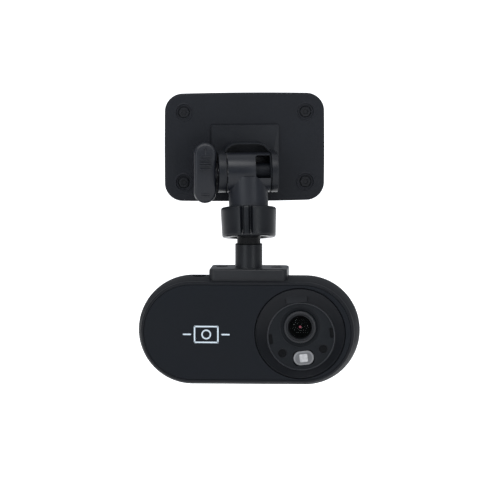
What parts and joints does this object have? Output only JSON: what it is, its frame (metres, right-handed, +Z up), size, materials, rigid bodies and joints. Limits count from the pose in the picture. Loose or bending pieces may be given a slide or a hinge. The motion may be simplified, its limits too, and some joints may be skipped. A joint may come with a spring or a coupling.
{
  "type": "dash camera",
  "caption": "Dash camera with a road lens and a turnable cabin lens, hung from an adhesive windshield plate by a lockable hinge and a ball joint.",
  "frame": {"origin": "centre of the adhesive face that sticks to the windshield", "axes": "+Z up, +Y towards the glass, +X to the driver's right; the camera body is square to the axes and the mounting plate is turned 9 degrees about Z"},
  "size_m": [0.095, 0.04, 0.1241],
  "materials": {
    "foam": "adhesive foam tape",
    "mount_plastic": "fine grained",
    "body_plastic": "fine grained",
    "face_plastic": "satin",
    "lens_plastic": "satin",
    "black_steel": "black oxide",
    "steel": "zinc plated",
    "brass": "turned",
    "liner": "acetal",
    "trim": "bright edge",
    "seal": "soft",
    "board": "solder mask",
    "chip": "moulded",
    "pad": "soft",
    "aluminium": "plain",
    "lens_glass": "coated",
    "ir_window": "frosted",
    "led": "clear resin"
  },
  "bodies": {
    "mount": {"adhesive_pad": "foam", "backing_plate": "mount_plastic", "mount_cover": "mount_plastic", "cover_screws": "black_steel", "hinge_yoke": "mount_plastic", "yoke_screws": "steel", "pivot_bolt": "steel", "pivot_sleeve": "steel"},
    "knuckle": {"swivel_knuckle": "mount_plastic", "serration_ring": "mount_plastic", "friction_washer": "liner"},
    "knob": {"wing_knob": "mount_plastic", "knob_insert": "brass", "knob_washer": "steel"},
    "collar": {"clamp_collar": "mount_plastic"},
    "pan_ring": {"socket_ring": "liner"},
    "tilt_cup": {"seat_cup": "liner"},
    "camera": {"ball_stem": "body_plastic", "mount_shoe": "body_plastic", "shoe_screws": "black_steel", "stem_screw": "steel", "rear_shell": "body_plastic", "front_bezel": "face_plastic", "face_plate": "face_plastic", "shell_seal": "seal", "shell_screws": "black_steel", "turret_retainer": "body_plastic", "main_board": "board", "board_chips": "chip", "thermal_pad": "pad", "heat_spreader": "aluminium", "backup_capacitors": "aluminium", "speaker": "chip", "dc_jack": "chip", "jack_pin": "steel", "card_socket": "steel", "road_lens_bezel": "lens_plastic", "road_lens_barrel": "lens_plastic", "road_lens_glass": "lens_glass", "road_lens_holder": "lens_plastic", "road_image_sensor": "chip"},
    "card": {"memory_card": "chip"},
    "turret": {"lens_bowl": "face_plastic", "turret_face": "face_plastic", "trim_ring": "trim", "turret_screws": "black_steel", "cabin_lens_barrel": "lens_plastic", "cabin_lens_glass": "lens_glass", "cabin_lens_holder": "lens_plastic", "cabin_sensor_board": "board", "cabin_image_sensor": "chip", "ir_window": "ir_window", "ir_led": "led", "ir_board": "board", "microphone": "aluminium"}
  },
  "joints": [
    {"name": "hinge_tilt", "type": "hinge", "parent": "mount", "child": "knuckle", "pos_m": [0.00297, -0.01877, -0.00975], "axis": [0.9877, 0.1564, 0], "range_deg": [-70, 15]},
    {"name": "knob_turn", "type": "hinge", "parent": "mount", "child": "knob", "pos_m": [0.00297, -0.01877, -0.00975], "axis": [0.9877, 0.1564, 0], "continuous": true},
    {"name": "collar_turn", "type": "hinge", "parent": "knuckle", "child": "collar", "pos_m": [0.00359, -0.02269, -0.0323], "axis": [-0.0272, 0.1715, 0.9848], "continuous": true},
    {"name": "ball_pan", "type": "hinge", "parent": "knuckle", "child": "pan_ring", "pos_m": [0.00359, -0.02269, -0.0323], "axis": [-0.0272, 0.1715, 0.9848], "continuous": true},
    {"name": "ball_tilt", "type": "hinge", "parent": "pan_ring", "child": "tilt_cup", "pos_m": [0.00359, -0.02269, -0.0323], "axis": [0.9877, 0.1564, 0], "range_deg": [-25, 5]},
    {"name": "ball_roll", "type": "hinge", "parent": "tilt_cup", "child": "camera", "pos_m": [0.00359, -0.02269, -0.0323], "axis": [-0.1564, 0.9877, 0], "range_deg": [-12, 12]},
    {"name": "turret_roll", "type": "hinge", "parent": "camera", "child": "turret", "pos_m": [0.02619, -0.03269, -0.07755], "axis": [0, 1, 0], "range_deg": [-23.5, 36.5]},
    {"name": "card_slide", "type": "slide", "parent": "camera", "child": "card", "axis": [0, 0, -1], "range_m": [0, 0.016]}
  ]
}
